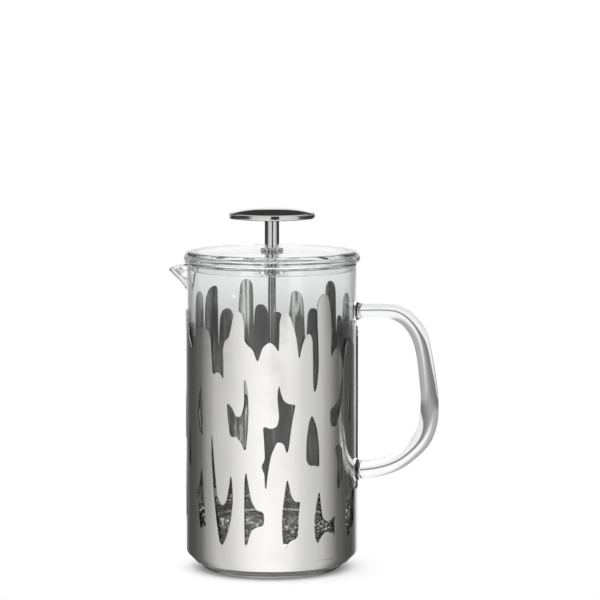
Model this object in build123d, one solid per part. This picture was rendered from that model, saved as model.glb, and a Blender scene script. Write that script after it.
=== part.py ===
"""French press: a glass beaker in a pierced steel sleeve, with a clear lid and a plunger.

Frame: millimetres, +Z up. The origin is the centre of the beaker's underside, the beaker's
axis is Z, the handle points along +X and the pouring lip along -X.
"""
from build123d import *
import os
from math import cos, radians, sin, sqrt, tan

os.makedirs("parts", exist_ok=True)

# Rounding of drawn outlines
ROUNDED_SHARE = 0.42       # share of the shorter side that a corner's arc takes

# Clearances
SLIDE_GAP = 0.3            # between pieces that slide or lift past each other
RUNNING_GAP = 0.06         # radial play of the rod in its guide, and of the lid on the guide

# Glass beaker
GLASS_R = 51.4             # outside radius of the wall
GLASS_WALL = 1.8
GLASS_FLOOR = 2.6
GLASS_TOP = 187.2
GLASS_CONE = 40.57         # the base bevel is the 45 degree cone r - z = GLASS_CONE
BEVEL_UPPER_ROUND = 14.0   # bevel to wall
BEVEL_LOWER_ROUND = 5.0    # bevel to underside

# Pouring lip: part of a cone whose point is on the wall and whose underside climbs at 45 degrees
LIP_REACH = 62.5           # furthest point of the lip from the axis
LIP_UNDERSIDE_Z = 180.4    # height of the lip's underside at its end
LIP_EDGE_Z = 182.2         # height of the lip's edge at its end
LIP_HALF_ANGLE = 34.0      # half angle of the cone
LIP_CONE_LENGTH = 40.0
FAR = 60.0                 # cutting pieces reach this far past what they cut

# Handle: a bent glass bar, given by the edges of its side view (x, z)
HANDLE_WIDTH = 12.0
HANDLE_ROUND = 3.9
HANDLE_OUTER = [(46, 162.2), (72.9, 162.6), (80.6, 161.0), (86.4, 156.8), (91.8, 150.7),
                (95.4, 143.5), (98.7, 129.0), (101.0, 114.5), (102.2, 99.9), (100.9, 87.6),
                (96.7, 77.8), (89.9, 70.2), (80.4, 62.9), (70.0, 58.5), (58.0, 56.1), (46, 55.3)]
HANDLE_INNER = [(46, 66.1), (52.7, 66.4), (62.0, 67.5), (72.4, 70.6), (80.3, 75.6),
                (86.7, 82.9), (90.1, 91.7), (91.3, 104.5), (90.6, 114.9), (88.9, 129.9),
                (86.4, 140.2), (81.9, 148.0), (76.0, 152.4), (68.1, 153.9), (46, 153.2)]

# Sleeve: thin sheet round the beaker, its lower edge turned in under the glass
SLEEVE_R = 52.3            # outside radius
SLEEVE_SHEET = 0.6
SLEEVE_FOOT_Z = 5.0
SLEEVE_TOP_Z = 174.0       # above every stroke, before the top edge is cut
SLEEVE_ROUND = 4.0         # corner between the cylinder and the turned-in foot
SLIT_HALF_ANGLE = 9.0      # open slit that the handle stands in
SLIT_FOOT_Z = 50.0
SLIT_ROUND = 4.0
CUT_FROM_R = 44.0          # the cutters run outwards from this radius
CUT_LENGTH = 16.0
CUT_PAST_TOP = 10.0
PEAK_HALF_FLAT = 0.9       # each peak is flat this far to either side, before its corners are rounded
PEAK_OVERLAP = 0.3         # neighbouring top cutters overlap this much over each peak

# Lid
LID_R = 53.5
LID_TOP_Z = 193.8
LID_PLATE = 2.5
LID_SKIRT_R = 49.2
LID_SKIRT_WALL = 1.9
LID_SKIRT_Z = 182.4
LID_SEAT_Z = GLASS_TOP + SLIDE_GAP
LID_GROOVE_IN_R = 50.6     # groove in the rim's underside, which keeps the rim's wall even
LID_GROOVE_OUT_R = 51.8
LID_BOSS_R = 4.5
LID_BOSS_Z = 182.2
LID_RIM_ROUND = 4.4        # top of the rim
LID_RIM_FOOT_ROUND = 1.2
LID_SKIRT_ROUND = 0.8
LID_GROOVE_ROUND = 1.0
LID_HOLLOW_ROUND = 2.0
LID_BOSS_ROUND = 1.0

# Rod, and the guide bushing that carries it through the lid
ROD_R = 2.4
ROD_FOOT_Z = 20.2
ROD_TOP_Z = 209.0
ROD_CHAMFER = 0.4
BUSHING_R = 3.5
BUSHING_FLANGE_R = 6.9
BUSHING_FLANGE = 1.6
BUSHING_FOOT_Z = 179.4
BUSHING_NUT_R = 7.9
BUSHING_NUT_TOP_Z = 182.0
BUSHING_NUT = 2.0
GUIDE_ROUND = 0.5          # outer edges of the flange and the nut

# Knob
KNOB_R = 26.2
KNOB_EDGE_Z = 213.6        # underside of the rim
KNOB_EDGE = 3.2
KNOB_CROWN = 2.9           # rise of the top face from rim to centre
KNOB_BELLY = 0.8           # sag of the underside from rim to stem
KNOB_TOP_ROUND = 80.0      # softens the top's cone into a dome
KNOB_BELLY_ROUND = 120.0
KNOB_RIM_ROUND = 0.9
STEM_R = 4.45
STEM_FOOT_Z = LID_TOP_Z + BUSHING_FLANGE + SLIDE_GAP
STEM_BORE_ROOM = 0.4       # above the end of the rod

# Filter, from the bottom up
PLATE_R = 44.5
PLATE_Z = 25.2
PLATE = 0.8
MESH = 0.3
MESH_R = 49.2
MESH_TOP_Z = 37.8
MESH_ROUND = 4.6
SPREADER_Z = 27.4
SPREADER_R = 44.8
SPREADER_RIM_Z = 33.6
COIL_R = 47.0              # middle of the coil's ring
COIL_WIRE_RING_R = 1.8     # outside radius of the coiled wire
COIL_LIFT = 1.8            # of the coil above the spreader plate
PLATE_HOLES = [(13, 4.2, 6), (26, 5.0, 12), (37.5, 4.0, 20)]   # circle's radius, hole's radius, count
SPREADER_HOLES = [(14, 2.6, 8), (26, 2.6, 16), (37, 2.6, 24)]
SPREADER_ROUND = 1.6       # plate to rim, outside
HUB_HOLE_R = ROD_R + 0.04
COLLAR_R = 5.2
COLLAR_HEIGHT = 5.0
COLLAR_CHAMFER = 0.6
NUT_ACROSS_CORNERS_R = 6.2
NUT_HEIGHT = 4.2

# The sleeve's cut-outs are drawn on the unrolled sheet as (angle, height). Angles are in
# degrees, anticlockwise from above, and start at the middle of the side between lip and handle.
FRONT = -80.0              # that side's direction from +X

# Top edge from the lip round the front to the handle: each rise is the rounded end of a tall stroke
TOP_EDGE_FRONT = [
    (-82, 159), (-76, 151), (-73.5, 144), (-70.5, 140), (-67, 135.5), (-64.5, 141), (-60, 148),
    (-52, 150.8), (-46.3, 149), (-44.2, 143.5), (-43.4, 132), (-42.5, 122.8), (-38, 124.6),
    (-35.6, 123.4), (-33.6, 120.3), (-33.4, 128), (-34, 138.5), (-32.4, 143.8), (-29.4, 145.7),
    (-27.8, 151), (-26.2, 158.5), (-23.3, 162.2), (-19.6, 160), (-18.4, 154), (-18.3, 144.4),
    (-16, 141.6), (-12.6, 139.4), (-10.8, 134.6), (-9.3, 131.5), (-8, 135.2), (-6, 140.8),
    (-1.5, 143.4), (2.4, 141), (4.3, 137.4), (4.9, 145), (5, 156), (6.4, 160.4), (9, 162),
    (12.4, 158), (15.8, 147.5), (17, 139.5), (18, 132), (19.3, 138.5), (21.5, 145), (24.7, 148.1),
    (27.3, 145.2), (27.8, 133), (27.8, 118), (28.8, 111.8), (30.8, 116.5), (32.2, 127),
    (32, 141), (31.2, 154), (31, 164.5), (33, 169.6), (36.8, 171.6), (40.2, 169.2), (42.2, 161),
    (43, 147), (42.2, 137.5), (42.9, 132.4), (44.6, 136.6), (47.6, 138.4), (51.6, 135.5),
    (53.4, 129), (54.6, 123.5), (56.6, 131.5), (59.2, 139.8), (63.4, 143.2), (68, 140.5),
    (79, 130)]

# Top edge round the back: strokes as (left side, peak, right side, height) with the height of
# the gap after each, at angles that go on from the front's
STROKES_BEHIND = [
    ((89.5, 92.6, 96.4, 147.6), 131.5), ((98.2, 101.4, 105.0, 151.0), 118.5),
    ((107.0, 112.8, 119.2, 166.2), 143.0), ((120.7, 123.8, 127.1, 151.4), 129.0),
    ((128.7, 134.0, 138.8, 172.0), 131.0), ((145.5, 149.8, 154.2, 154.2), 122.0),
    ((157.1, 163.8, 166.8, 164.5), 136.0), ((172.1, 176.3, 180.2, 151.2), 134.0),
    ((182.5, 188.2, 192.4, 156.0), 139.5), ((193.4, 198.0, 203.2, 172.0), 129.5),
    ((208.1, 213.2, 219.8, 154.3), 123.5), ((221.9, 224.4, 235.1, 169.0), 133.5),
    ((237.8, 243.2, 249.9, 166.8), 131.5), ((253.2, 257.6, 262.2, 149.5), 128.0),
    ((264.4, 269.0, 274.0, 157.5), 143.5)]
STROKE_END = [(0, 1.7), (0.1, 0.72), (0.45, 0.15)]   # its side: share of the way in, drop per half width

# Windows, each a smooth closed outline
WINDOWS = {
    "hook": [(-31, 107.5), (-26.9, 104), (-24.4, 98.8), (-20.6, 99), (-18.4, 106.5),
             (-18.7, 119.5), (-17.6, 122), (-16, 115), (-15.3, 103), (-16, 90), (-17.2, 79.6),
             (-18.5, 78.8), (-20.4, 83), (-24, 86.8), (-28.4, 86.3), (-30.1, 96)],
    "flame": [(4.5, 119.4), (3.3, 111), (4.7, 98.5), (3, 93), (-1.5, 92), (-6, 93.9),
              (-5.2, 84), (-4.7, 73.5), (-7.3, 69.3), (-5, 65), (-4.7, 57), (-3.8, 55.6),
              (-2.8, 65), (-0.6, 76.5), (3.4, 84.4), (7.5, 83.2), (9.8, 76.5), (11, 80.5),
              (12.8, 93.5), (15.6, 106.6), (11, 106.6), (7.4, 109), (5.6, 114)],
    "almond": [(27, 100.2), (24.9, 95.6), (22.9, 84), (22.9, 72.5), (25, 69.2), (29, 69.2),
               (32.6, 67.8), (32.6, 80), (30.6, 92.5)],
    "long_fork": [(-43.8, 88), (-44, 75), (-42, 52), (-39.4, 34), (-37, 22.6), (-35, 20.3),
                  (-32.2, 24), (-28.2, 35), (-26.3, 49), (-27.4, 61.5), (-28.3, 63.2),
                  (-29.6, 55), (-31.8, 46.6), (-35, 44.4), (-38.5, 49), (-41, 66),
                  (-42.8, 84)],
    "boot": [(-17.4, 67.8), (-18.4, 60), (-18.6, 41), (-18.3, 22.5), (-17.1, 19.8),
             (-15.9, 24.5), (-13.6, 31), (-9.6, 33), (-5.8, 33.8), (-5, 38), (-5.8, 42.3),
             (-10, 42.8), (-13.6, 48), (-16, 60)],
    "saddle": [(9.8, 62), (8.3, 54), (6.5, 41), (6.5, 28.5), (7.5, 20.4), (9, 20.2),
               (11.4, 24.3), (16.7, 25.9), (17.4, 32), (17.6, 41), (18.8, 48.2),
               (15.2, 47.8), (12.6, 51.5), (10.9, 59)],
    "anchor": [(32.7, 56), (30.6, 47), (28.6, 34.5), (29.6, 24.5), (31.5, 21.4),
               (33.6, 25.4), (38, 28.8), (42.4, 27.2), (46.1, 24.9), (45.4, 31), (46, 38),
               (43, 35.2), (39, 34.4), (35.3, 37), (33.7, 46)],
    "leaf": [(53, 122.6), (50.8, 113), (48.4, 107), (45, 103.6), (41.7, 102), (41.4, 95),
             (43.6, 90.6), (48, 91.8), (51, 99), (53.5, 112)],
    "bean": [(45.6, 78.6), (48.6, 71), (48.2, 61.5), (48, 54.4), (50.2, 53), (53, 58.5),
             (54.4, 67), (53.2, 78), (49.6, 80.4)],
    "blade": [(-54.6, 117), (-57.2, 107), (-57.8, 97), (-56, 88.8), (-52.6, 83.6),
              (-52.7, 97), (-53.2, 110)],
    "spur": [(-54, 67.5), (-52.4, 58), (-51, 45), (-49.6, 30.2), (-52.4, 30.5),
             (-55.3, 28.2), (-57, 35), (-57.6, 44.5), (-61.3, 50.4), (-57, 53.6),
             (-55, 61)],
    "slot": [(-70.5, 89), (-72.1, 83), (-72, 68), (-70.5, 62), (-68.9, 68), (-68.7, 83)],
}

# The same windows are used again round the back: (window, turn in degrees, rise)
BACK_HALF = [("hook", 182, 16), ("flame", 195, 16), ("almond", 191, 0), ("long_fork", 184, 2),
             ("boot", 180, 14), ("saddle", 179, 4), ("anchor", 185, 8), ("leaf", 182, 0),
             ("bean", 184, 0), ("blade", 171, 0), ("spur", 188, 0), ("slot", 182, 0)]
SIDES = [("slot", 171, 4), ("almond", 218, -2), ("bean", 201, -23), ("slot", 326, 24),
         ("blade", 315, -10), ("spur", -30, 3), ("almond", -113, 12), ("slot", 130, -37),
         ("bean", 24, 25), ("slot", 133, 28), ("saddle", 53, 3)]


def turned(outline, rounding=None):
    """Solid of revolution of an (r, z) outline, with some of its corners rounded."""
    face = make_face(Plane.XZ * Polyline(*outline, close=True))
    for corner, radius in (rounding or {}).items():
        r, z = outline[corner]
        vertex = face.vertices().sort_by_distance((r, 0, z))[0]
        face = fillet(vertex, radius)
    return revolve(face, Axis.Z)


def disc(radius, bottom, height):
    """Upright cylinder from bottom, round the axis."""
    return Pos(0, 0, bottom) * Cylinder(radius, height, align=(Align.CENTER, Align.CENTER, Align.MIN))


def ring(outer, inner, bottom, height):
    """Upright tube from bottom, round the axis."""
    return disc(outer, bottom, height) - disc(inner, bottom - 1, height + 2)


def base_outline(wall_r, cone, floor_z, top_z):
    """Outline of a beaker-shaped solid: underside, 45 degree bevel and wall."""
    return [(0, floor_z), (cone + floor_z, floor_z), (wall_r, wall_r - cone), (wall_r, top_z), (0, top_z)]


def corner_arc(before, corner, after):
    """Arc that rounds a corner, reaching ROUNDED_SHARE of the way along its shorter side."""
    before, corner, after = Vector(*before), Vector(*corner), Vector(*after)
    reach = ROUNDED_SHARE * min((corner - before).length, (after - corner).length)
    arriving = (corner - before).normalized()
    leaving = (after - corner).normalized()
    half_turn = radians(arriving.get_angle(leaving) / 2)
    middle = corner + (leaving - arriving) * (reach / 2 / (1 + cos(half_turn)))
    return ThreePointArc(corner - arriving * reach, middle, corner + leaving * reach)


def smooth_face(plane, points, square=()):
    """Face of a closed outline on a plane, with an arc at each of points and square corners after them."""
    around = [*points, *square]
    edges = []
    for i, corner in enumerate(points):
        edges.append(corner_arc(around[i - 1], corner, around[(i + 1) % len(around)]))
    ends = [(arc @ 0, arc @ 1) for arc in edges] + [(Vector(*corner), Vector(*corner)) for corner in square]
    for i, (start, _) in enumerate(ends):
        edges.append(Line(ends[i - 1][1], start))
    return plane * make_face(edges)


# ---- Glass ----

def lip_cone(wall):
    """Solid cone along the pouring lip, its side a wall's thickness inside the lip's outer face."""
    start_r = GLASS_R - GLASS_WALL
    start_z = LIP_UNDERSIDE_Z - (LIP_REACH - start_r)
    slope = radians(45 + LIP_HALF_ANGLE)
    upwards = Vector(-cos(slope), 0, sin(slope))
    point = Vector(-start_r, 0, start_z) + upwards * (wall / sin(radians(LIP_HALF_ANGLE)))
    widest = LIP_CONE_LENGTH * tan(radians(LIP_HALF_ANGLE))
    cone = Cone(0, widest, LIP_CONE_LENGTH, align=(Align.CENTER, Align.CENTER, Align.MIN))
    return Plane(origin=point, z_dir=upwards) * cone


def above_lip():
    """Everything above the lip's sloping edge, outside the rim."""
    start_r = GLASS_R - GLASS_WALL
    far_r = LIP_REACH + FAR
    above_z = GLASS_TOP + FAR
    slope = Polyline((-start_r, GLASS_TOP), (-LIP_REACH, LIP_EDGE_Z), (-far_r, LIP_EDGE_Z),
                     (-far_r, above_z), (-start_r, above_z), close=True)
    return extrude(make_face(Plane.XZ * slope), amount=FAR, both=True)


def glass_beaker():
    wall_in = GLASS_R - GLASS_WALL
    cone_in = GLASS_CONE - GLASS_WALL * sqrt(2)
    body = turned(base_outline(GLASS_R, GLASS_CONE, 0, GLASS_TOP),
                  {1: BEVEL_LOWER_ROUND, 2: BEVEL_UPPER_ROUND})
    hollow = turned(base_outline(wall_in, cone_in, GLASS_FLOOR, GLASS_TOP + FAR),
                    {1: BEVEL_LOWER_ROUND - GLASS_WALL, 2: BEVEL_UPPER_ROUND - GLASS_WALL})
    body += lip_cone(0)
    return body - hollow - lip_cone(GLASS_WALL) - above_lip() - disc(LIP_REACH + FAR, GLASS_TOP, FAR)


def glass_handle():
    outer = Spline(*HANDLE_OUTER)
    inner = Spline(*HANDLE_INNER)
    ends = [Line(outer @ 1, inner @ 0), Line(inner @ 1, outer @ 0)]
    bar = extrude(Plane.XZ * make_face([outer, inner, *ends]), amount=HANDLE_WIDTH / 2, both=True)
    long_edges = bar.edges().sort_by(Edge.length)[-4:]
    return fillet(long_edges, HANDLE_ROUND) - disc(GLASS_R, 0, GLASS_TOP)


# ---- Sleeve ----

def sheet_plane(angle):
    """Plane on the axis that faces outwards at an angle of the unrolled sheet; its y is up."""
    direction = radians(angle + FRONT)
    outwards = Vector(cos(direction), sin(direction), 0)
    along = Vector(-sin(direction), cos(direction), 0)
    return Plane(origin=outwards * CUT_FROM_R, x_dir=along, z_dir=outwards)


def flat(points, middle):
    """Points of the unrolled sheet, seen straight on at the angle middle."""
    return [(SLEEVE_R * sin(radians(angle - middle)), height) for angle, height in points]


def window_cutter(outline, turn=0, rise=0):
    points = [(angle + turn, height + rise) for angle, height in outline]
    middle = (min(p[0] for p in points) + max(p[0] for p in points)) / 2
    return extrude(smooth_face(sheet_plane(middle), flat(points, middle)), amount=CUT_LENGTH)


def top_gap_cutter(points):
    """Cuts the sheet away above the top edge, from one peak to the next."""
    middle = (points[0][0] + points[-1][0]) / 2
    edge = flat(points, middle)
    (left, left_z), (right, right_z) = edge[0], edge[-1]
    valley = [(left + PEAK_HALF_FLAT, left_z)] + edge[1:-1] + [(right - PEAK_HALF_FLAT, right_z)]
    left -= PEAK_OVERLAP
    right += PEAK_OVERLAP
    above = SLEEVE_TOP_Z + CUT_PAST_TOP
    box = [(right, right_z), (right, above), (left, above), (left, left_z)]
    return extrude(smooth_face(sheet_plane(middle), valley, box), amount=CUT_LENGTH)


def stroke_end(left, peak, right, height):
    """Points of the rounded end of a stroke, over the peak from its left side to its right."""
    points = []
    for side, shares in ((left, STROKE_END), (right, STROKE_END[::-1])):
        half_width = SLEEVE_R * radians(abs(peak - side))
        points += [(side + share * (peak - side), height - drop * half_width) for share, drop in shares]
    points.insert(len(STROKE_END), (peak, height))
    return points


def top_edge():
    """Points of the sleeve's whole top edge."""
    edge = list(TOP_EDGE_FRONT)
    starts = [stroke[0] for stroke, _ in STROKES_BEHIND[1:]] + [edge[0][0] + 360]
    for (stroke, gap_z), next_start in zip(STROKES_BEHIND, starts):
        edge += stroke_end(*stroke)
        edge.append(((stroke[2] + next_start) / 2, gap_z))
    return edge


def top_gap_cutters():
    """One cutter from each peak of the top edge to the next."""
    edge = top_edge()
    count = len(edge)
    heights = [height for _, height in edge]
    peaks = [i for i in range(count) if heights[i - 1] < heights[i] > heights[(i + 1) % count]]
    cutters = []
    for first, last in zip(peaks, peaks[1:] + [peaks[0] + count]):
        stretch = [edge[i % count] for i in range(first, last + 1)]
        start = stretch[0][0]
        stretch = [(start + (angle - start) % 360, height) for angle, height in stretch]
        cutters.append(top_gap_cutter(stretch))
    return cutters


def slit_cutter():
    handle_side = -FRONT
    half_width = SLEEVE_R * sin(radians(SLIT_HALF_ANGLE))
    height = SLEEVE_TOP_Z + CUT_PAST_TOP - SLIT_FOOT_Z
    slot = Rectangle(2 * half_width, height, align=(Align.CENTER, Align.MIN))
    slot = fillet(slot.vertices().group_by(Axis.Y)[0], SLIT_ROUND)
    return extrude(sheet_plane(handle_side) * Pos(0, SLIT_FOOT_Z) * slot, amount=CUT_LENGTH)


def sleeve():
    inner_r = SLEEVE_R - SLEEVE_SHEET
    cone_in = GLASS_CONE + SLIDE_GAP * sqrt(2)
    cone_out = cone_in + SLEEVE_SHEET * sqrt(2)
    foot_r = cone_out + SLEEVE_FOOT_Z
    edge = SLEEVE_SHEET * sqrt(0.5)
    outside = [(foot_r, SLEEVE_FOOT_Z), (SLEEVE_R, SLEEVE_R - cone_out), (SLEEVE_R, SLEEVE_TOP_Z)]
    inside = [(inner_r, SLEEVE_TOP_Z), (inner_r, inner_r - cone_in), (foot_r - edge, SLEEVE_FOOT_Z + edge)]
    sheet = turned(outside + inside, {1: SLEEVE_ROUND, 4: SLEEVE_ROUND - SLEEVE_SHEET})
    cutters = top_gap_cutters() + [slit_cutter()]
    cutters += [window_cutter(outline) for outline in WINDOWS.values()]
    cutters += [window_cutter(WINDOWS[name], turn, rise) for name, turn, rise in BACK_HALF + SIDES]
    return sheet - cutters


# ---- Lid and rod guide ----

def lid():
    skirt_in = LID_SKIRT_R - LID_SKIRT_WALL
    plate_z = LID_TOP_Z - LID_PLATE
    hole = BUSHING_R + RUNNING_GAP
    outline = [(hole, LID_BOSS_Z), (LID_BOSS_R, LID_BOSS_Z), (LID_BOSS_R, plate_z), (skirt_in, plate_z),
               (skirt_in, LID_SKIRT_Z), (LID_SKIRT_R, LID_SKIRT_Z), (LID_SKIRT_R, LID_SEAT_Z),
               (LID_GROOVE_IN_R, LID_SEAT_Z), (LID_GROOVE_IN_R, plate_z), (LID_GROOVE_OUT_R, plate_z),
               (LID_GROOVE_OUT_R, LID_SEAT_Z), (LID_R, LID_SEAT_Z), (LID_R, LID_TOP_Z), (hole, LID_TOP_Z)]
    return turned(outline, {2: LID_BOSS_ROUND, 3: LID_HOLLOW_ROUND, 5: LID_SKIRT_ROUND,
                            9: LID_GROOVE_ROUND, 11: LID_RIM_FOOT_ROUND, 12: LID_RIM_ROUND})


def rod_bushing():
    bore = ROD_R + RUNNING_GAP
    flange_top = LID_TOP_Z + BUSHING_FLANGE
    outline = [(bore, BUSHING_FOOT_Z), (BUSHING_R, BUSHING_FOOT_Z), (BUSHING_R, LID_TOP_Z),
               (BUSHING_FLANGE_R, LID_TOP_Z), (BUSHING_FLANGE_R, flange_top), (bore, flange_top)]
    return turned(outline, {4: GUIDE_ROUND})


def bushing_nut():
    bottom = BUSHING_NUT_TOP_Z - BUSHING_NUT
    nut = ring(BUSHING_NUT_R, BUSHING_R, bottom, BUSHING_NUT)
    return fillet(nut.edges().filter_by(GeomType.CIRCLE).sort_by(SortBy.RADIUS)[-2:], GUIDE_ROUND)


# ---- Plunger ----

def knob():
    rim_top = KNOB_EDGE_Z + KNOB_EDGE
    belly = KNOB_EDGE_Z - KNOB_BELLY
    outline = [(0, belly), (KNOB_R / 2, belly), (KNOB_R, KNOB_EDGE_Z), (KNOB_R, rim_top),
               (KNOB_R / 2, rim_top + KNOB_CROWN), (0, rim_top + KNOB_CROWN)]
    return turned(outline, {1: KNOB_BELLY_ROUND, 2: KNOB_RIM_ROUND, 3: KNOB_RIM_ROUND, 4: KNOB_TOP_ROUND})


def knob_stem():
    """Tube up to the knob's underside, with a blind bore for the rod."""
    bore_top = ROD_TOP_Z + STEM_BORE_ROOM
    stem = disc(STEM_R, STEM_FOOT_Z, KNOB_EDGE_Z - STEM_FOOT_Z) - knob()
    return stem - disc(ROD_R + RUNNING_GAP, STEM_FOOT_Z - 1, bore_top - STEM_FOOT_Z + 1)


def plunger_rod():
    rod = disc(ROD_R, ROD_FOOT_Z, ROD_TOP_Z - ROD_FOOT_Z)
    return chamfer(rod.edges().filter_by(GeomType.CIRCLE), ROD_CHAMFER)


def filter_collar():
    collar = ring(COLLAR_R, HUB_HOLE_R, SPREADER_Z + PLATE, COLLAR_HEIGHT)
    return chamfer(collar.edges().filter_by(GeomType.CIRCLE).sort_by(SortBy.RADIUS)[-2:], COLLAR_CHAMFER)


def holes(rings, bottom):
    """Round holes through a plate, on circles round the axis."""
    return [Pos(0, 0, bottom) * place * Cylinder(hole_r, 4 * PLATE)
            for circle_r, hole_r, count in rings for place in PolarLocations(circle_r, count)]


def spreader_plate():
    """Perforated plate with an upturned rim that holds the coil from inside."""
    inner_r = SPREADER_R - PLATE
    top = SPREADER_Z + PLATE
    outline = [(HUB_HOLE_R, SPREADER_Z), (SPREADER_R, SPREADER_Z), (SPREADER_R, SPREADER_RIM_Z),
               (inner_r, SPREADER_RIM_Z), (inner_r, top), (HUB_HOLE_R, top)]
    return turned(outline, {1: SPREADER_ROUND, 4: SPREADER_ROUND - PLATE}) - holes(SPREADER_HOLES, top)


def coil_spring():
    """Closed round ring: the outer shape of the coiled wire that presses the mesh outwards."""
    return Pos(0, 0, SPREADER_Z + PLATE + COIL_LIFT + COIL_WIRE_RING_R) * Torus(COIL_R, COIL_WIRE_RING_R)


def filter_mesh():
    bottom = PLATE_Z + PLATE
    inner = MESH_R - MESH
    outline = [(HUB_HOLE_R, bottom), (MESH_R, bottom), (MESH_R, MESH_TOP_Z), (inner, MESH_TOP_Z),
               (inner, bottom + MESH), (HUB_HOLE_R, bottom + MESH)]
    return turned(outline, {1: MESH_ROUND, 4: MESH_ROUND - MESH})


def cross_plate():
    plate = ring(PLATE_R, HUB_HOLE_R, PLATE_Z, PLATE)
    return plate - holes(PLATE_HOLES, PLATE_Z)


def hub_nut():
    hexagon = Pos(0, 0, PLATE_Z - NUT_HEIGHT) * RegularPolygon(NUT_ACROSS_CORNERS_R, 6)
    nut = extrude(hexagon, amount=NUT_HEIGHT)
    return nut - disc(HUB_HOLE_R, 0, FAR)


PARTS = [sleeve, glass_beaker, glass_handle, lid, rod_bushing, bushing_nut, knob, knob_stem, plunger_rod,
         filter_collar, spreader_plate, coil_spring, filter_mesh, cross_plate, hub_nut]

for part in PARTS:
    export_step(part(), f"parts/{part.__name__}.step")
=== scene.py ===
"""Looks of the french press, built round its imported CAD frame. Metres, in the CAD frame."""
import math
import bmesh
import bpy
import numpy as np
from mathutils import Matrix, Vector


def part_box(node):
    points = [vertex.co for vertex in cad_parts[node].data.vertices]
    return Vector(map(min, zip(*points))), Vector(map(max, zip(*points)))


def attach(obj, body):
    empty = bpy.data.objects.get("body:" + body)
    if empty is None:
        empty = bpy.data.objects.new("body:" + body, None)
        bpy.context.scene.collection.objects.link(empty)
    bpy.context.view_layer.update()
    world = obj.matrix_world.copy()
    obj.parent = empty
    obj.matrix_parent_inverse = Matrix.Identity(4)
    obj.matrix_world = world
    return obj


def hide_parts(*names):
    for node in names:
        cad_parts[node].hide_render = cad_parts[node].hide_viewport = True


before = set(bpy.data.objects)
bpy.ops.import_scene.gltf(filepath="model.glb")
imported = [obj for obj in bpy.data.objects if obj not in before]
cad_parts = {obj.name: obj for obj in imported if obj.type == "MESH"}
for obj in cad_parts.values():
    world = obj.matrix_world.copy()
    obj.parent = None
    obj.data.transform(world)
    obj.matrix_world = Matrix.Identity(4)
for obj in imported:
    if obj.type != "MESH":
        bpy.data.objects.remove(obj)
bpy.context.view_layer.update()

MM = 0.001
scene = bpy.context.scene


# ---- Node and mesh helpers ----

class Graph:
    """Short calls for building a node tree."""

    def __init__(self, tree):
        self.tree = tree
        tree.nodes.clear()

    def add(self, kind, inputs=None, **settings):
        node = self.tree.nodes.new(kind)
        for key, value in settings.items():
            setattr(node, key, value)
        for key, value in (inputs or {}).items():
            self.put(node.inputs[key], value)
        return node

    def put(self, socket, value):
        if isinstance(value, bpy.types.NodeSocket):
            self.tree.links.new(value, socket)
        else:
            socket.default_value = value

    def math(self, operation, *values):
        return self.add("ShaderNodeMath", dict(enumerate(values)), operation=operation).outputs[0]

    def vector(self, operation, *values):
        node = self.add("ShaderNodeVectorMath", dict(enumerate(values)), operation=operation)
        return node.outputs["Value" if operation == "DOT_PRODUCT" else "Vector"]

    def ramp(self, factor, stops):
        """Grey ramp: stops are (position, value)."""
        node = self.add("ShaderNodeValToRGB", {"Fac": factor})
        elements = node.color_ramp.elements
        while len(elements) < len(stops):
            elements.new(0.5)
        for element, (position, value) in zip(elements, stops):
            element.position = position
            element.color = (value, value, value, 1)
        return node.outputs["Color"]

    def span(self, value, low, high, to_low=0.0, to_high=1.0):
        """Maps value from low..high to to_low..to_high, held at both ends."""
        return self.add("ShaderNodeMapRange", {"Value": value, "From Min": low, "From Max": high,
                                               "To Min": to_low, "To Max": to_high}).outputs["Result"]

    def mix(self, factor, a, b):
        """Mix of two values."""
        return self.add("ShaderNodeMix", {0: factor, 2: a, 3: b}, data_type="FLOAT").outputs[0]

    def mix_colour(self, factor, a, b):
        return self.add("ShaderNodeMix", {0: factor, 6: a, 7: b}, data_type="RGBA").outputs[2]

    def noise(self, vector, scale, detail=3.0, roughness=0.55):
        return self.add("ShaderNodeTexNoise", {"Vector": vector, "Scale": scale, "Detail": detail,
                                               "Roughness": roughness}).outputs["Fac"]

    def bump(self, height, strength, distance, **under):
        """Bumped normal, on top of another one if that is given."""
        return self.add("ShaderNodeBump", {"Height": height, "Strength": strength, "Distance": distance,
                                           **under}).outputs[0]


ARC_STEP = math.radians(7)


def rounded(outline, radii):
    """Outline with some of its inner corners replaced by arcs: radii gives them by corner number."""
    points = []
    for i, corner in enumerate(outline):
        corner = np.array(corner, float)
        if i not in radii:
            points.append(corner)
            continue
        before = np.array(outline[i - 1], float) - corner
        after = np.array(outline[i + 1], float) - corner
        before /= np.linalg.norm(before)
        after /= np.linalg.norm(after)
        half = math.acos(np.clip(before @ after, -1, 1)) / 2
        radius = radii[i]
        middle = before + after
        centre = corner + middle / np.linalg.norm(middle) * (radius / math.sin(half))
        start = corner + before * (radius / math.tan(half)) - centre
        turn = math.pi - 2 * half
        if before[0] * after[1] - before[1] * after[0] > 0:
            turn = -turn
        steps = max(3, math.ceil(abs(turn) / ARC_STEP))
        for k in range(steps + 1):
            a = turn * k / steps
            points.append(centre + np.array([start[0] * math.cos(a) - start[1] * math.sin(a),
                                             start[0] * math.sin(a) + start[1] * math.cos(a)]))
    return points


def grid_mesh(name, rows, wrap_rows=False):
    """Mesh of closed rows of points in mm: rows[i][j] joins rows[i + 1][j] and rows[i][j + 1]."""
    rows = np.asarray(rows, float)
    n_rows, n_columns = rows.shape[:2]
    faces = []
    for i in range(n_rows if wrap_rows else n_rows - 1):
        k = (i + 1) % n_rows
        for j in range(n_columns):
            m = (j + 1) % n_columns
            faces.append((i * n_columns + j, i * n_columns + m, k * n_columns + m, k * n_columns + j))
    mesh = bpy.data.meshes.new(name)
    mesh.from_pydata((rows.reshape(-1, 3) * MM).tolist(), [], faces)
    return mesh


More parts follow.
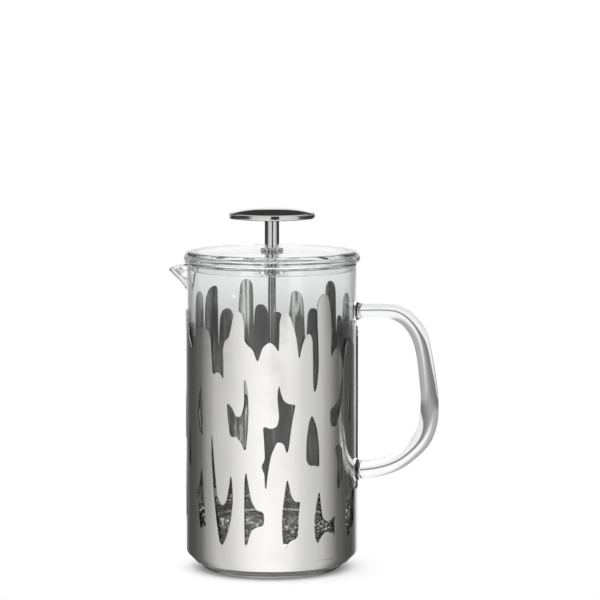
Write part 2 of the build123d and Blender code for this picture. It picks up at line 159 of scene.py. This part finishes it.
def tidy_mesh(mesh, sharp_angle=35, merge=1e-6):
    """Merges doubled points, turns every face outwards and smooths all but the sharp edges."""
    bm = bmesh.new()
    bm.from_mesh(mesh)
    bmesh.ops.remove_doubles(bm, verts=bm.verts, dist=merge)
    bmesh.ops.dissolve_degenerate(bm, edges=bm.edges, dist=merge / 10)
    bmesh.ops.recalc_face_normals(bm, faces=bm.faces)
    bm.to_mesh(mesh)
    bm.free()
    mesh.shade_smooth()
    mesh.set_sharp_from_angle(angle=math.radians(sharp_angle))


def piece(name, mesh, body, finish, slot, *nodes):
    """Adds a piece to the scene, on its body, in place of some CAD nodes."""
    made = bpy.data.objects.new(name, mesh)
    scene.collection.objects.link(made)
    mesh.materials.clear()
    mesh.materials.append(finish)
    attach(made, body)
    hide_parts(*nodes)


def curve_through(points, per_span=24):
    """Catmull-Rom curve through points."""
    first, last = 2 * np.array(points[0]) - points[1], 2 * np.array(points[-1]) - points[-2]
    p = np.array([first, *points, last], float)
    out = []
    for i in range(1, len(p) - 2):
        t = np.linspace(0, 1, per_span, endpoint=False)[:, None]
        a, b, c, d = p[i - 1], p[i], p[i + 1], p[i + 2]
        out.append(0.5 * (2 * b + (c - a) * t + (2 * a - 5 * b + 4 * c - d) * t ** 2
                          + (3 * b - a - 3 * c + d) * t ** 3))
    out.append(p[-2][None])
    return np.concatenate(out)


# ---- Materials ----

def material(name):
    """New material and the graph of its nodes."""
    made = bpy.data.materials.new(name)
    made.use_nodes = True
    return made, Graph(made.node_tree)


def finish_material(graph, shader):
    """Ends a material's node tree with its shader."""
    graph.add("ShaderNodeOutputMaterial", {"Surface": shader.outputs[0]})


def shade(colour, factor):
    """RGBA of a colour made lighter or darker."""
    return (*[c * factor for c in colour], 1)


def metal(graph, base, roughness, normal):
    return graph.add("ShaderNodeBsdfPrincipled", {"Base Color": base, "Roughness": roughness,
                                                  "Metallic": 1.0, "Normal": normal})


CUT_EDGE_FACING = (0.3, 0.55)  # a face that points less outwards or inwards than this is a cut edge
# Colour of the cut edges as a share of the steel's: painted shade that darkens them into dark outlines.
CUT_EDGE_PAINTED_SHADE = 0.16
DENT_STRETCH = (75, 75, 9)
DENT_DEPTH = 0.002


def polished_steel(name, colour, smooth, smudged, line_stretch, cut_sheet=False):
    """Polished steel with fine polishing lines and a few smudges. Sheet that is cut and rolled round the
    axis also has rougher cut edges, whose colour is darkened with painted shade, and shallow upright dents
    on its inside."""
    made, g = material(name)
    place = g.add("ShaderNodeTexCoord")
    at = place.outputs["Object"]
    lines = g.noise(g.vector("MULTIPLY", at, line_stretch), 1.0, 4.0, 0.6)
    smudges = g.noise(at, 55.0, 4.0, 0.6)
    roughness = g.math("ADD", g.span(smudges, 0.42, 0.72, smooth, smudged),
                       g.span(lines, 0.3, 0.7, -0.01, 0.012))
    tone = g.span(g.noise(at, 22.0, 2.0), 0.35, 0.65)
    base = g.mix_colour(tone, shade(colour, 0.985), shade(colour, 1.015))
    normal = g.bump(lines, 0.03, 0.00002)
    if cut_sheet:
        from_axis = g.vector("NORMALIZE", g.vector("MULTIPLY", at, (1, 1, 0)))
        outward = g.vector("DOT_PRODUCT", place.outputs["Normal"], from_axis)
        edge = g.span(g.math("ABSOLUTE", outward), *CUT_EDGE_FACING, 1.0, 0.0)
        roughness = g.math("ADD", roughness, g.math("MULTIPLY", edge, 0.1))
        # Painted shade: the cut edges' colour is darkened into a dark outline. The added roughness is
        # their real dullness.
        base = g.mix_colour(edge, base, shade(colour, CUT_EDGE_PAINTED_SHADE))
        dents = g.noise(g.vector("MULTIPLY", at, DENT_STRETCH), 1.0, 2.0, 0.5)
        inside = g.span(outward, -0.5, -0.9)
        normal = g.bump(g.math("MULTIPLY", dents, inside), 1.0, DENT_DEPTH, Normal=normal)
    finish_material(g, metal(g, base, roughness, normal))
    return made


def satin_steel(name, colour, roughness, grain):
    """Duller steel of stamped plates and wire, with a fine grain."""
    made, g = material(name)
    at = g.add("ShaderNodeTexCoord").outputs["Object"]
    fine = g.noise(at, grain, 4.0, 0.65)
    stain = g.span(g.noise(at, 60.0, 3.0), 0.35, 0.65)
    base = g.mix_colour(stain, shade(colour, 0.9), shade(colour, 1.06))
    rough = g.span(fine, 0.3, 0.7, roughness - 0.05, roughness + 0.07)
    finish_material(g, metal(g, base, rough, g.bump(fine, 0.12, 0.00003)))
    return made


def clear(name, colour, ior, wave_scale, wave_depth):
    """Clear glass or plastic with the faint waviness of its forming, and a trace of smudges."""
    made, g = material(name)
    at = g.add("ShaderNodeTexCoord").outputs["Object"]
    waves = g.noise(at, wave_scale, 2.0, 0.4)
    smudges = g.noise(at, 45.0, 4.0, 0.6)
    rough = g.span(smudges, 0.55, 0.8, 0.0, 0.02)
    shader = g.add("ShaderNodeBsdfPrincipled", {"Base Color": (*colour, 1), "Roughness": rough, "IOR": ior,
                                                "Transmission Weight": 1.0, "Specular IOR Level": 0.26,
                                                "Normal": g.bump(waves, 0.5, wave_depth)})
    finish_material(g, shader)
    return made


WEAVE_PITCH = 0.0011            # between two wires of the same set
MESH_R = 0.049
MESH_BEND_Z = (0.0285, 0.0295)  # the flat mesh turns up into its rim here


def woven_mesh(name, colour):
    """Sheet of fine woven wire: two sets of crossing wires in bump and openings, crumpled in bump. Its
    colour has painted glints: bright patches of painted highlight on a base darkened with painted shade,
    and faces that point up are kept dark with painted shade."""
    made, g = material(name)
    place = g.add("ShaderNodeTexCoord")
    at = place.outputs["Object"]
    x, y, z = g.add("ShaderNodeSeparateXYZ", {0: at}).outputs
    upright = g.span(z, *MESH_BEND_Z)
    round_axis = g.math("MULTIPLY", g.math("ARCTAN2", y, x), MESH_R)
    turns = 2 * math.pi / WEAVE_PITCH
    along = g.math("SINE", g.math("MULTIPLY", g.mix(upright, x, round_axis), turns))
    across = g.math("SINE", g.math("MULTIPLY", g.mix(upright, y, z), turns))
    weave = g.math("MULTIPLY", along, across)
    facets = g.add("ShaderNodeTexVoronoi", {"Vector": at, "Scale": 300.0, "Randomness": 1.0})
    crumple = g.math("ADD", g.math("MULTIPLY", facets.outputs["Distance"], 6.0),
                     g.math("MULTIPLY", g.noise(at, 380.0, 3.0, 0.7), 5.0))
    height = g.math("ADD", g.math("MULTIPLY", weave, 0.3), crumple)
    # Painted glints: noise patches painted bright as painted highlight, and the rest painted dark as
    # painted shade. Faces that point up get no painted highlight.
    painted_glints = g.span(g.noise(at, 560.0, 5.0, 0.75), 0.5, 0.6)
    upwards = g.add("ShaderNodeSeparateXYZ", {0: place.outputs["Normal"]}).outputs["Z"]
    painted_glints = g.math("MULTIPLY", painted_glints, g.span(upwards, 0.5, 0.9, 1.0, 0.0))
    base = g.mix_colour(painted_glints, shade(colour, 0.12), shade(colour, 1.8))
    wire = metal(g, base, g.span(painted_glints, 0.0, 1.0, 0.15, 0.5), g.bump(height, 1.0, 0.0003))
    gap = g.add("ShaderNodeBsdfTransparent")
    opening = g.math("MULTIPLY", g.span(weave, 0.1, 0.3), 0.8)
    finish_material(g, g.add("ShaderNodeMixShader", {0: opening, 1: wire.outputs[0], 2: gap.outputs[0]}))
    return made


sleeve_steel = polished_steel("sleeve_steel", (0.64, 0.635, 0.625), 0.085, 0.15, (40, 40, 900), True)
knob_steel = polished_steel("knob_steel", (0.62, 0.615, 0.61), 0.05, 0.09, (500, 500, 500))
rod_steel = polished_steel("rod_steel", (0.6, 0.6, 0.595), 0.1, 0.16, (60, 60, 1500))
# The filter's plates get a dark steel colour that is painted shade, standing in for the dim inside of the
# press.
filter_steel = satin_steel("filter_steel", (0.22, 0.217, 0.21), 0.26, 900.0)
spring_steel = satin_steel("spring_steel", (0.62, 0.615, 0.6), 0.22, 1200.0)
mesh_steel = woven_mesh("mesh_steel", (0.5, 0.495, 0.48))
clear_glass = clear("clear_glass", (0.985, 0.993, 0.99), 1.47, 30.0, 0.00004)
clear_plastic = clear("clear_plastic", (0.985, 0.988, 0.988), 1.49, 40.0, 0.00002)


# ---- Glass beaker with its handle, one fused piece ----

glass_low, glass_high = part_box("glass_beaker")
GLASS_R = glass_high.y / MM
GLASS_TOP = glass_high.z / MM
LIP_REACH = -glass_low.x / MM
WALL = 1.8
WALL_IN = GLASS_R - WALL
FLOOR = 2.6
BASE_RINGS = (12.0, 24.0, 34.0)  # radii of the rings of points across the floor
CONE = 40.57               # radius where the wall's 45 degree cone meets the table
CONE_LOWER_ROUND = 5.0
CONE_UPPER_ROUND = 14.0
ROWS_START_Z = 100.0       # the straight wall's rows of points begin here
ROW_STEP = 10.0
LIP_STARTS_Z = 152.0
LIP_ROWS = 44
LIP_POINT_Z = 167.5        # the tip of the lip's cone
LIP_HALF_ANGLE = math.radians(34)
LIP_LEAN = math.radians(79)
LIP_BLEND = 6.0            # width of the fillet between wall and lip
LIP_EDGE_DROP = 5.0        # from the rim to the lip's end
LIP_WALL = 1.2
RIM_STEPS = 11             # points over the rounded rim
RIM_ROUNDS = 60            # rounds that settle the rim's height
RIM_SHARE = 0.15           # of the way that each round goes


def lip_radius(angle, z, inner):
    """Distance from the axis to the pouring lip's cone at an angle and height, or 0 where it has none:
    the far root of the quadratic in r that says the point lies on the cone."""
    axis_x, axis_z = -math.cos(LIP_LEAN), math.sin(LIP_LEAN)
    shift = LIP_WALL / math.sin(LIP_HALF_ANGLE) if inner else 0
    point_x = -WALL_IN + axis_x * shift
    height = z - (LIP_POINT_Z + axis_z * shift)
    spread = math.cos(LIP_HALF_ANGLE) ** 2
    turned = math.cos(angle)
    slope, start = axis_x * turned, axis_z * height - axis_x * point_x
    a = slope ** 2 - spread
    b = 2 * slope * start + 2 * spread * point_x * turned
    c = start ** 2 - spread * (point_x ** 2 + height ** 2)
    inside_root = b * b - 4 * a * c
    if inside_root <= 0:
        return 0.0
    r = max((-b + math.sqrt(inside_root)) / (2 * a), (-b - math.sqrt(inside_root)) / (2 * a))
    return r if slope * r + start > 0 and turned < 0 else 0.0


def smooth_max(a, b, width):
    """Larger of two values, with a fillet of this width where they are close."""
    near = max(width - abs(a - b), 0) / width
    return max(a, b) + near * near * width / 4


def wall_radius(angle, z, inner):
    """Radius of the wall's outer or inner face, with the lip."""
    plain = WALL_IN if inner else GLASS_R
    lip = lip_radius(angle, z, inner)
    return smooth_max(plain, lip, LIP_BLEND) if lip else plain


def rim_height(angle, inner):
    """Height of the rim's edge, which dips along the lip."""
    z = GLASS_TOP
    for _ in range(RIM_ROUNDS):
        out = -wall_radius(angle, z, inner) * math.cos(angle)
        edge = GLASS_TOP - max(0, out - WALL_IN) * LIP_EDGE_DROP / (LIP_REACH - WALL_IN)
        z += (edge - z) * RIM_SHARE
    return z


def wall_rows(angle, inner):
    """Points up one face of the wall, to just below the rounded rim."""
    top = rim_height(angle, inner) - WALL / 2
    plain = [(WALL_IN if inner else GLASS_R, z) for z in np.arange(ROWS_START_Z, LIP_STARTS_Z, ROW_STEP)]
    heights = [LIP_STARTS_Z + (top - LIP_STARTS_Z) * t for t in np.linspace(0, 1, LIP_ROWS)]
    return plain + [(wall_radius(angle, z, inner), z) for z in heights]


def rounded_rim(outer_end, inner_end):
    """Half round over the rim, from the outer face's end to the inner face's end."""
    half = (outer_end - inner_end) / 2
    up = np.array([-half[1], half[0]])
    up *= WALL / 2 / np.linalg.norm(up)
    return [(outer_end + inner_end) / 2 + half * math.cos(a) + up * math.sin(a)
            for a in np.linspace(0, math.pi, RIM_STEPS)[1:-1]]


def beaker_column(angle):
    """Outline of the beaker at one angle: up the outside, over the rim and down the inside."""
    cone_in = CONE - WALL * math.sqrt(2)
    outside = rounded([(0, 0), (CONE, 0), (GLASS_R, GLASS_R - CONE), (GLASS_R, ROWS_START_Z)],
                      {1: CONE_LOWER_ROUND, 2: CONE_UPPER_ROUND})[:-1]
    inside = rounded([(0, FLOOR), (cone_in + FLOOR, FLOOR), (WALL_IN, WALL_IN - cone_in),
                      (WALL_IN, ROWS_START_Z)],
                     {1: CONE_LOWER_ROUND - WALL, 2: CONE_UPPER_ROUND - WALL})[:-1]
    outside[1:1] = [(r, 0) for r in BASE_RINGS]
    inside[1:1] = [(r, FLOOR) for r in BASE_RINGS]
    outer, inner = wall_rows(angle, False), wall_rows(angle, True)
    rim = rounded_rim(np.array(outer[-1]), np.array(inner[-1]))
    return [*outside, *outer, *rim, *reversed(inner), *reversed(inside)]


LIP_SIDE = 157.5           # the lip lies beyond this many degrees to either side
PLAIN_STEP = 1.25
LIP_STEP = 0.6


def beaker_mesh():
    """The beaker's columns, closer together round the lip."""
    plain = np.arange(-LIP_SIDE, LIP_SIDE + 0.1, PLAIN_STEP)
    lip = np.arange(LIP_SIDE + LIP_STEP, 360 - LIP_SIDE - LIP_STEP, LIP_STEP)
    angles = np.radians(np.concatenate([plain, lip]))
    columns = [[(r * math.cos(a), r * math.sin(a), z) for r, z in beaker_column(a)] for a in angles]
    mesh = grid_mesh("glass", np.array(columns).swapaxes(0, 1))
    tidy_mesh(mesh)
    return mesh


# The handle's two edges in its upright plane: distance from the axis, and height.
HANDLE_OUTER = [(46, 162.2), (72.9, 162.6), (80.6, 161.0), (86.4, 156.8), (91.8, 150.7),
                (95.4, 143.5), (98.7, 129.0), (101.0, 114.5), (102.2, 99.9), (100.9, 87.6),
                (96.7, 77.8), (89.9, 70.2), (80.4, 62.9), (70.0, 58.5), (58.0, 56.1), (46, 55.3)]
HANDLE_INNER = [(46, 153.2), (68.1, 153.9), (76.0, 152.4), (81.9, 148.0), (86.4, 140.2), (88.9, 129.9),
                (90.6, 114.9), (91.3, 104.5), (90.1, 91.7), (86.7, 82.9), (80.3, 75.6), (72.4, 70.6),
                (62.0, 67.5), (52.7, 66.4), (46, 66.1)]
HANDLE_HALF_WIDTH = 6.0
SECTION_POWER = 0.85       # the bar's section is a superellipse of this power
SECTION_SIDES = 48
BAR_STEP = 1.6             # between two sections of the bar
BAR_GAP = 1.2              # from the root's last section to the bar's first, at least
ROOT_X = 50.1              # the bar ends inside the beaker's wall
ROOT_LENGTH = 7.0          # measured from the wall
ROOT_STEP_INSIDE = 0.3     # between two sections of a root, inside the wall
ROOT_STEP_OUTSIDE = 0.45
UPPER_ROOT_Z = 150.0       # the upper root's two edges are above this
LOWER_ROOT_OUTER_Z = 60.0  # the lower root's outer edge is below this
LOWER_ROOT_INNER_Z = 68.0
FLARE_UP = 2.6             # the root's weld, up and down
FLARE_SIDE = 1.7           # and sideways
FLARE_LENGTH = 5.5


def edge_at(edge, xs):
    """Points of an edge line at the distances xs."""
    order = np.argsort(edge[:, 0])
    return [np.array([x, np.interp(x, edge[order, 0], edge[order, 1])]) for x in xs]


def bar_pairs(outer, starts_x):
    """Evenly spaced points of the outer edge beyond starts_x, each with the inner point nearest to it.
    The inner points are evened out, so that the sections turn steadily."""
    lengths = np.concatenate([[0], np.cumsum(np.linalg.norm(np.diff(outer, axis=0), axis=1))])
    even = np.arange(0, lengths[-1], BAR_STEP)
    line = np.stack([np.interp(even, lengths, outer[:, 0]), np.interp(even, lengths, outer[:, 1])], 1)
    line = line[line[:, 0] > starts_x]
    inner = curve_through(HANDLE_INNER, 120)
    nearest = [int(np.argmin(((inner - point) ** 2).sum(1))) for point in line]
    nearest = np.maximum.accumulate(nearest).astype(float)
    for _ in range(6):
        nearest[1:-1] = (nearest[:-2] + nearest[1:-1] * 2 + nearest[2:]) / 4
    return [(point, inner[int(round(k))]) for point, k in zip(line, nearest)]


def handle_pairs():
    """Pairs of outer and inner edge points, from the upper root along the bar to the lower root."""
    outer, inner = curve_through(HANDLE_OUTER), curve_through(HANDLE_INNER)
    xs = np.concatenate([np.arange(ROOT_X, GLASS_R, ROOT_STEP_INSIDE),
                         np.arange(GLASS_R, GLASS_R + ROOT_LENGTH, ROOT_STEP_OUTSIDE)])
    upper = zip(edge_at(outer[outer[:, 1] > UPPER_ROOT_Z], xs),
                edge_at(inner[inner[:, 1] > UPPER_ROOT_Z], xs))
    lower = zip(edge_at(outer[outer[:, 1] < LOWER_ROOT_OUTER_Z], xs[::-1]),
                edge_at(inner[inner[:, 1] < LOWER_ROOT_INNER_Z], xs[::-1]))
    return [*upper, *bar_pairs(outer, xs[-1] + BAR_GAP), *lower]


def handle_section(outer, inner):
    """Oval across the bar, wider where it is welded to the wall."""
    centre, across = (outer + inner) / 2, (outer - inner) / 2
    half = np.linalg.norm(across)
    across = across / half
    clear_of_wall = (centre[0] - GLASS_R) / FLARE_LENGTH
    flare = 1 - math.sqrt(1 - (1 - min(1, max(0, clear_of_wall))) ** 2)
    half += FLARE_UP * flare
    width = HANDLE_HALF_WIDTH + FLARE_SIDE * flare
    points = []
    for angle in np.linspace(0, 2 * math.pi, SECTION_SIDES, endpoint=False):
        cosine, sine = math.cos(angle), math.sin(angle)
        y = width * math.copysign(abs(cosine) ** SECTION_POWER, cosine)
        out = half * math.copysign(abs(sine) ** SECTION_POWER, sine)
        x, z = centre + across * out
        points.append((x, y, z))
    return points


def handle_mesh():
    """The handle's bar, closed at both ends."""
    mesh = grid_mesh("handle", [handle_section(outer, inner) for outer, inner in handle_pairs()])
    bm = bmesh.new()
    bm.from_mesh(mesh)
    bmesh.ops.holes_fill(bm, edges=[e for e in bm.edges if e.is_boundary])
    bmesh.ops.recalc_face_normals(bm, faces=bm.faces)
    bm.to_mesh(mesh)
    bm.free()
    return mesh


def joined(mesh, other):
    """Union of two closed meshes."""
    holder = bpy.data.objects.new("holder", mesh)
    tool = bpy.data.objects.new("tool", other)
    for solid in (holder, tool):
        scene.collection.objects.link(solid)
    modifier = holder.modifiers.new("union", "BOOLEAN")
    modifier.operation = "UNION"
    modifier.solver = "EXACT"
    modifier.object = tool
    bpy.context.view_layer.update()
    result = bpy.data.meshes.new_from_object(holder.evaluated_get(bpy.context.evaluated_depsgraph_get()))
    bpy.data.objects.remove(holder)
    bpy.data.objects.remove(tool)
    return result


glass = joined(beaker_mesh(), handle_mesh())
tidy_mesh(glass, 50)
piece("glass", glass, "beaker", clear_glass, "clear_glass", "glass_beaker", "glass_handle")


# ---- Filter's coiled wire ----

coil_low, coil_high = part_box("coil_spring")
COIL_Z = (coil_low.z + coil_high.z) / 2 / MM
COIL_OUTER = (coil_high.z - coil_low.z) / 2 / MM
COIL_RING = coil_high.x / MM - COIL_OUTER
COIL_TURNS = 170
POINTS_PER_TURN = 16
WIRE = 0.36                # radius of the wire
WIRE_SIDES = 7


def coil_mesh():
    """Wire coiled round a ring that goes round the axis."""
    count = COIL_TURNS * POINTS_PER_TURN
    t = np.arange(count) / count * 2 * math.pi
    ring = np.stack([np.cos(t), np.sin(t), 0 * t], 1)
    up = np.array([0.0, 0.0, 1.0])
    out = ring * np.cos(COIL_TURNS * t)[:, None] + up * np.sin(COIL_TURNS * t)[:, None]
    centre = ring * COIL_RING + out * (COIL_OUTER - WIRE) + up * COIL_Z
    tangent = np.roll(centre, -1, 0) - np.roll(centre, 1, 0)
    tangent /= np.linalg.norm(tangent, axis=1)[:, None]
    side = np.cross(tangent, out)
    a = np.linspace(0, 2 * math.pi, WIRE_SIDES, endpoint=False)
    rows = (centre[:, None] + WIRE * (out[:, None] * np.cos(a)[None, :, None]
                                      + side[:, None] * np.sin(a)[None, :, None]))
    mesh = grid_mesh("coil", rows, wrap_rows=True)
    tidy_mesh(mesh, 80)
    return mesh


piece("coil_wire", coil_mesh(), "plunger", spring_steel, "spring_steel", "coil_spring")


# ---- CAD nodes that stay, with their materials ----

KEPT = {
    "sleeve": (sleeve_steel, "sleeve_steel"),
    "lid": (clear_plastic, "clear_lid"),
    "rod_bushing": (clear_plastic, "clear_guide"),
    "bushing_nut": (clear_plastic, "clear_guide"),
    "knob": (knob_steel, "knob_steel"),
    "knob_stem": (knob_steel, "knob_steel"),
    "plunger_rod": (rod_steel, "rod_steel"),
    "filter_collar": (filter_steel, "filter_steel"),
    "spreader_plate": (filter_steel, "filter_steel"),
    "filter_mesh": (mesh_steel, "mesh_steel"),
    "cross_plate": (filter_steel, "filter_steel"),
    "hub_nut": (filter_steel, "filter_steel"),
}
for name, (finish, slot) in KEPT.items():
    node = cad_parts[name]
    for material_slot in node.material_slots:
        material_slot.material = finish


# ---- Studio ----

def level_direction(azimuth):
    """Level direction to an azimuth in degrees, counted from the front towards the right."""
    turn = math.radians(azimuth)
    return (math.sin(turn), -math.cos(turn), 0)


CAMERA_AZIMUTH = 10
TO_CAMERA = level_direction(CAMERA_AZIMUTH)
TO_LIGHT = level_direction(4)
TO_STRIP = level_direction(18.5)   # a dark strip at eye level, towards the camera

# The studio's brightness, as pairs of a place and a value. WALLS and EYE_LEVEL run from straight
# behind (0) to straight in front (1), and ABOVE_BEHIND from level (0) to straight up (1).
WALLS = [(0.0, 1.0), (0.03, 0.9), (0.0585, 0.25), (0.12, 0.10), (0.228, 0.11), (0.387, 0.20),
         (0.517, 0.5), (0.638, 0.8), (0.742, 0.9), (0.828, 1.0), (0.9, 1.0), (1.0, 1.0)]
EYE_LEVEL = [(0.0, 1.0), (0.02, 1.0), (0.05, 0.3), (0.1, 0.06), (0.5, 0.06), (0.64, 0.12),
             (0.75, 0.85), (0.98, 1.0), (0.988, 0.95), (0.9925, 0.05), (1.0, 0.02)]
ABOVE_BEHIND = [(0.0, 1.0), (0.19, 1.0), (0.22, 0.05), (0.5, 0.05), (0.56, 0.7), (1.0, 0.9)]

# The same for what is seen through the glass. GLASS_BACKDROP runs upwards over BACKDROP_HEIGHTS,
# and GLASS_FRONT from straight behind (0) to straight in front (1).
BACKDROP_HEIGHTS = (-0.35, 0.25)
GLASS_BACKDROP = [(0.0, 0.17), (0.233, 0.18), (0.332, 0.2), (0.372, 0.36), (0.392, 0.5),
                  (0.412, 0.7), (0.424, 0.87), (0.441, 0.95), (0.75, 0.97), (0.917, 0.93)]
GLASS_FRONT = [(0.0, 0.1), (0.5, 0.08), (0.75, 0.12), (0.84, 0.25), (0.875, 0.95), (0.945, 0.95),
               (0.962, 0.12), (1.0, 0.06)]

FRONT_BOOST = 1.49         # straight in front, against the rest of the front
OVERHEAD = 0.8
GLASS_OVERHEAD_FRONT = 4.5  # above the soft boxes
GLASS_TABLE = 0.8
GLASS_TABLE_DIRECT = 0.9   # the same table where no reflection comes first
DIFFUSE_LIGHT = 1.3        # on matt surfaces
SIGHT_LEVEL = 0.995        # level part of a unit vector to the camera


def seen_through_glass(g, level, height, reflections):
    """The studio as the glass refracts it: a backdrop that darkens downwards from eye level and
    to the sides, in front a dark middle between two soft boxes, and below them the white table."""
    away = g.math("MULTIPLY", g.vector("DOT_PRODUCT", level, TO_CAMERA), -1.0)
    backdrop = g.ramp(g.span(height, *BACKDROP_HEIGHTS), GLASS_BACKDROP)
    near_sides = g.span(away, 0.965, 0.9985, 0.42, 1.0)
    far_sides = g.span(away, 0.3, 0.75, 0.16, 1.0)
    backdrop = g.math("MINIMUM", backdrop, g.math("MINIMUM", near_sides, far_sides))
    toward = g.math("SUBTRACT", 0.5, g.math("MULTIPLY", away, 0.5))
    overhead = g.span(height, 0.25, 0.4)
    front = g.mix(overhead, g.ramp(toward, GLASS_FRONT), GLASS_OVERHEAD_FRONT)
    behind = g.span(away, -0.1, 0.2)
    around = g.mix(behind, front, backdrop)
    direct = g.math("LESS_THAN", reflections, 0.5)
    direct_table = g.math("MULTIPLY", direct, g.span(height, -0.185, -0.205))
    around = g.mix(direct_table, around, GLASS_TABLE_DIRECT)
    table = g.span(height, -0.36, -0.5)
    return g.mix(table, around, GLASS_TABLE)


def half_turn(g, level, toward):
    """1 where a level direction points the given way, and 0 where it points the other way."""
    return g.math("ADD", g.math("MULTIPLY", g.vector("DOT_PRODUCT", level, toward), 0.5), 0.5)


def walls(g, facing):
    """Brightness of the studio around the press: 1 is in front and 0 straight behind."""
    return g.math("MULTIPLY", g.ramp(facing, WALLS), g.span(facing, 0.828, 1.0, 1.0, FRONT_BOOST))


def level_of_foot(g, flat):
    """For a ray that the sloping foot reflects, the level direction that the upright wall above it
    reflects, so that the foot has that wall's tone. The wall faces half-way between ray and camera."""
    half_way = g.vector("ADD", flat, tuple(c * SIGHT_LEVEL for c in TO_CAMERA))
    half_way = g.vector("NORMALIZE", half_way)
    twice = g.math("MULTIPLY", g.vector("DOT_PRODUCT", half_way, TO_CAMERA), 2.0)
    return g.vector("SUBTRACT", g.vector("MULTIPLY", half_way, twice), TO_CAMERA)


def reflected(g, flat, level, height):
    """The studio as the steel reflects it: bright in front, dark at the sides, white straight
    behind, and dark above what is behind."""
    below = walls(g, half_turn(g, level_of_foot(g, flat), TO_LIGHT))
    eye_level = g.ramp(half_turn(g, level, TO_STRIP), EYE_LEVEL)
    around = g.mix(g.span(height, -0.1, -0.088), below, eye_level)
    behind = g.span(half_turn(g, level, TO_LIGHT), 0.55, 0.4)
    above = g.span(height, 0.02, 0.05)
    seen = g.mix(g.math("MULTIPLY", behind, above), around, g.ramp(height, ABOVE_BEHIND))
    overhead = g.span(height, 0.5, 0.85)
    return g.mix(overhead, seen, OVERHEAD)


def studio_light():
    """White surround for the camera, even light for matt surfaces, and two drawn studios: one for
    reflections and one for what is seen through the glass."""
    world = bpy.data.worlds.new("studio")
    scene.world = world
    world.use_nodes = True
    world.cycles.sampling_method = "NONE"
    g = Graph(world.node_tree)
    direction = g.add("ShaderNodeTexCoord").outputs["Generated"]
    flat = g.vector("MULTIPLY", direction, (1, 1, 0))
    level = g.vector("NORMALIZE", flat)
    height = g.add("ShaderNodeSeparateXYZ", {0: direction}).outputs["Z"]
    path = g.add("ShaderNodeLightPath").outputs
    refracted = seen_through_glass(g, level, height, path["Glossy Depth"])
    strength = g.mix(path["Is Transmission Ray"], reflected(g, flat, level, height), refracted)
    diffuse = g.math("GREATER_THAN", path["Diffuse Depth"], 0.5)
    strength = g.mix(diffuse, strength, DIFFUSE_LIGHT)
    strength = g.mix(path["Is Camera Ray"], strength, 1.0)
    background = g.add("ShaderNodeBackground", {"Color": (1, 1, 1, 1), "Strength": strength})
    g.add("ShaderNodeOutputWorld", {"Surface": background.outputs[0]})


TABLE_RINGS = (0.001, 40, 80, 130, 175)   # radii; beyond the last the table is dark, as the glass shows
TABLE_SEGMENTS = 96


def floor():
    """Round patch of white table under the press."""
    turns = np.linspace(0, 2 * math.pi, TABLE_SEGMENTS, endpoint=False)
    rings = [[(r * math.cos(a), r * math.sin(a), 0) for a in turns] for r in TABLE_RINGS]
    mesh = grid_mesh("floor", rings)
    tidy_mesh(mesh, merge=1e-5)
    made, g = material("floor")
    at = g.add("ShaderNodeTexCoord").outputs["Object"]
    tone = g.span(g.noise(at, 3.0), 0.3, 0.7, 0.93, 0.95)
    finish_material(g, g.add("ShaderNodeBsdfDiffuse", {"Color": tone}))
    mesh.materials.append(made)
    ground = bpy.data.objects.new("floor", mesh)
    scene.collection.objects.link(ground)
    ground.visible_glossy = False


CAMERA_DISTANCE = 2.0      # from the press's axis, on the level
CAMERA_HEIGHT = 0.36657
AIM_ASIDE = 0.01703        # to the right of the axis, towards the handle
AIM_HEIGHT = 0.16373


def camera():
    """The photograph's camera, fitted to the outline of the press."""
    data = bpy.data.cameras.new("camera")
    data.lens = 198.73
    data.sensor_width = 36
    data.clip_start, data.clip_end = 0.05, 20
    made = bpy.data.objects.new("camera", data)
    scene.collection.objects.link(made)
    made.location = (CAMERA_DISTANCE * TO_CAMERA[0], CAMERA_DISTANCE * TO_CAMERA[1], CAMERA_HEIGHT)
    aim = Vector((-AIM_ASIDE * TO_CAMERA[1], AIM_ASIDE * TO_CAMERA[0], AIM_HEIGHT))
    made.rotation_euler = (aim - made.location).to_track_quat("-Z", "Y").to_euler()
    scene.camera = made


studio_light()
floor()
camera()
scene.view_settings.view_transform = "Standard"
scene.cycles.max_bounces = 24
scene.cycles.transmission_bounces = 20
scene.cycles.glossy_bounces = 12
scene.cycles.diffuse_bounces = 4
scene.cycles.caustics_refractive = False
